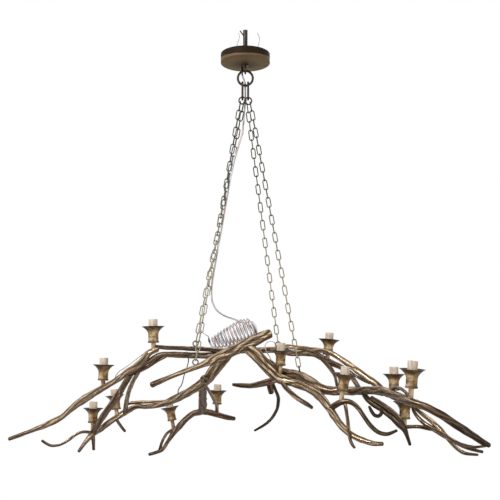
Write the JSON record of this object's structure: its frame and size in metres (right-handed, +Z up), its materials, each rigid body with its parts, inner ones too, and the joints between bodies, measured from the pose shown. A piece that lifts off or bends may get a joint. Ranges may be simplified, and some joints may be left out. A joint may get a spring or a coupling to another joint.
{
  "type": "branch chandelier",
  "caption": "Hanging light with imitation candles standing on a nest of gilt bronze branches, hung by chains from a round canopy.",
  "frame": {"origin": "on the hanging axis, level with the upper edge of the canopy, where it meets the ceiling", "axes": "+Z up; +X to the right and -Y towards the viewer in the pictured front view"},
  "size_m": [1.263, 0.8564, 1.249],
  "materials": {
    "canopy_bronze": "matte brown bronze",
    "black_steel": "blackened, satin",
    "zinc_steel": "zinc plated",
    "chain_brass": "aged, pale on the lower half",
    "dark_bronze": "dark aged bronze",
    "gilt_bronze": "aged gilt over dark bronze, bark texture",
    "cup_gilt": "aged gilt",
    "candle_cream": "cream card with wax-like streaks",
    "holder_white": "glazed white",
    "clear_flex": "clear flex over pale wires",
    "black_lead": "black insulated wire"
  },
  "bodies": {
    "ceiling_fixing": {"canopy": "canopy_bronze", "ceiling_stem": "black_steel", "stem_nuts": "zinc_steel", "ceiling_strap": "zinc_steel", "ceiling_loop": "dark_bronze", "ceiling_tails": "clear_flex", "canopy_cord": "clear_flex"},
    "ring": {"large_ring": "black_steel", "ring_cord": "clear_flex"},
    "branch_frame": {"hub_links": "black_steel", "hub_rings": "dark_bronze", "chain_front_left": "chain_brass", "chain_back_left": "chain_brass", "chain_back_right": "chain_brass", "chain_front_right": "chain_brass", "chain_eyes": "dark_bronze", "supply_cord": "clear_flex", "cord_coil": "clear_flex", "coil_lead": "clear_flex", "drop_lead": "black_lead", "branch_lead": "clear_flex", "curl_lead": "clear_flex", "trunk": "gilt_bronze", "front_branch": "gilt_bronze", "front_right_branch": "gilt_bronze", "back_branch": "gilt_bronze", "back_left_branch": "gilt_bronze", "back_right_branch": "gilt_bronze", "outer_left_branch": "gilt_bronze", "low_left_branch": "gilt_bronze", "steep_left_branch": "gilt_bronze", "pale_left_branch": "gilt_bronze", "drop_branch": "gilt_bronze", "dark_right_branch": "gilt_bronze", "far_right_branch": "gilt_bronze", "s_branch": "gilt_bronze", "left_twigs": "gilt_bronze", "left_sprigs": "gilt_bronze", "right_twigs": "gilt_bronze", "right_sprigs": "gilt_bronze", "hook_twigs": "gilt_bronze", "cup_1": "cup_gilt", "cup_2": "cup_gilt", "cup_3": "cup_gilt", "cup_4": "cup_gilt", "cup_5": "cup_gilt", "cup_6": "cup_gilt", "cup_7": "cup_gilt", "cup_8": "cup_gilt", "cup_9": "cup_gilt", "cup_10": "cup_gilt", "cup_11": "cup_gilt", "cup_12": "cup_gilt", "left_stems": "dark_bronze", "right_stems": "dark_bronze", "left_lampholders": "holder_white", "right_lampholders": "holder_white", "left_sleeves": "candle_cream", "right_sleeves": "candle_cream"}
  },
  "joints": [
    {"name": "ring_sway", "type": "hinge", "parent": "ceiling_fixing", "child": "ring", "pos_m": [0, 0, -0.054], "axis": [0, 1, 0], "range_deg": [-15, 15]},
    {"name": "frame_swing", "type": "hinge", "parent": "ring", "child": "branch_frame", "pos_m": [0, 0, -0.08844], "axis": [1, 0, 0], "range_deg": [-15, 15]}
  ]
}
